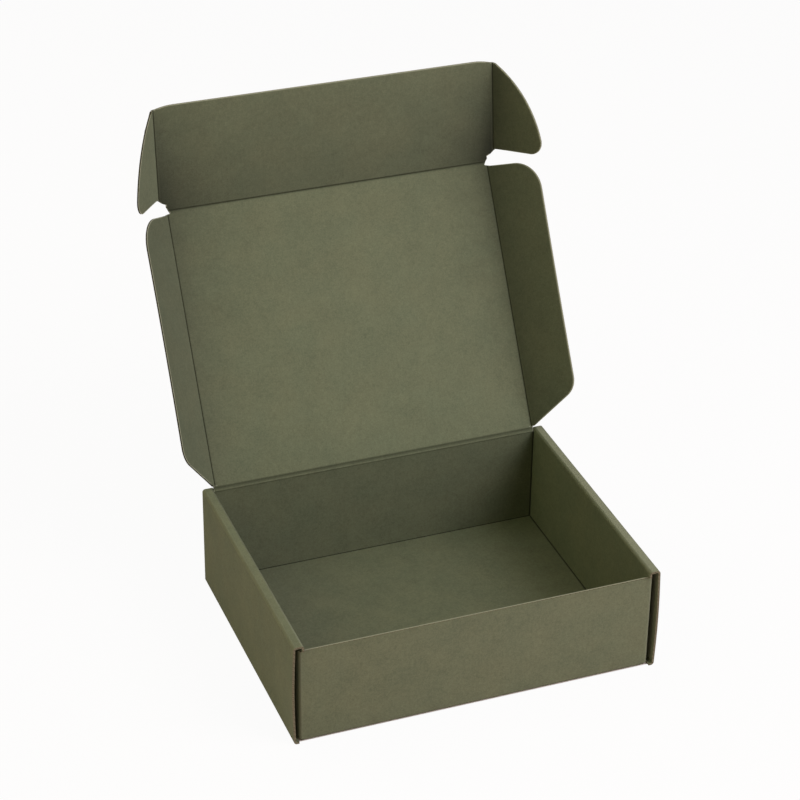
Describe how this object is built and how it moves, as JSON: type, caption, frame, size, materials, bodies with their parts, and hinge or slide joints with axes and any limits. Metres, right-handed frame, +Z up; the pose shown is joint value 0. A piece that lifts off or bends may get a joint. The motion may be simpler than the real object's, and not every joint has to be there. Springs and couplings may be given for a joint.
{
  "type": "folding gift box",
  "caption": "One-piece folding mailer box of matte green board with a hinged lid, tuck wings, front flap and rolled side walls.",
  "frame": {"origin": "middle of the tray's underside", "axes": "+X to the right seen from the front, +Y towards the lid's hinge, +Z up out of the tray"},
  "size_m": [0.2778, 0.284, 0.2992],
  "materials": {
    "board_tray": "matte",
    "board_lid": "matte",
    "board_wing": "matte",
    "board_flap": "matte",
    "board_ear": "matte"
  },
  "bodies": {
    "tray": {"tray": "board_tray"},
    "lid": {"lid_panel": "board_lid"},
    "left_wing": {"left_wing": "board_wing"},
    "right_wing": {"right_wing": "board_wing"},
    "front_flap": {"front_flap": "board_flap"},
    "left_ear": {"left_ear": "board_ear"},
    "right_ear": {"right_ear": "board_ear"}
  },
  "joints": [
    {"name": "lid_hinge", "type": "hinge", "parent": "tray", "child": "lid", "pos_m": [0, 0.0913, 0.0713], "axis": [1, 0, 0], "range_deg": [-59.5, 120.5]},
    {"name": "front_flap_hinge", "type": "hinge", "parent": "lid", "child": "front_flap", "pos_m": [0, 0.18398, 0.22863], "axis": [1, 0, 0], "range_deg": [-24.6, 65.4]},
    {"name": "left_wing_hinge", "type": "hinge", "parent": "lid", "child": "left_wing", "pos_m": [-0.1119, 0.0913, 0.0713], "axis": [0, 0.5075, 0.8616], "range_deg": [-52, 74.8]},
    {"name": "right_wing_hinge", "type": "hinge", "parent": "lid", "child": "right_wing", "pos_m": [0.1119, 0.0913, 0.0713], "axis": [0, -0.5075, -0.8616], "range_deg": [-52, 74.8]},
    {"name": "left_ear_hinge", "type": "hinge", "parent": "front_flap", "child": "left_ear", "pos_m": [-0.1169, 0.18398, 0.22863], "axis": [0, 0.1028, 0.9947], "range_deg": [-56, 34]},
    {"name": "right_ear_hinge", "type": "hinge", "parent": "front_flap", "child": "right_ear", "pos_m": [0.1169, 0.18398, 0.22863], "axis": [0, -0.1028, -0.9947], "range_deg": [-56, 34]}
  ],
  "couplings": [
    {"joint": "left_wing_hinge", "follows": "lid_hinge", "ratio": 0.62},
    {"joint": "right_wing_hinge", "follows": "lid_hinge", "ratio": 0.62},
    {"joint": "left_ear_hinge", "follows": "front_flap_hinge", "ratio": 0.51987},
    {"joint": "right_ear_hinge", "follows": "front_flap_hinge", "ratio": 0.51987}
  ]
}
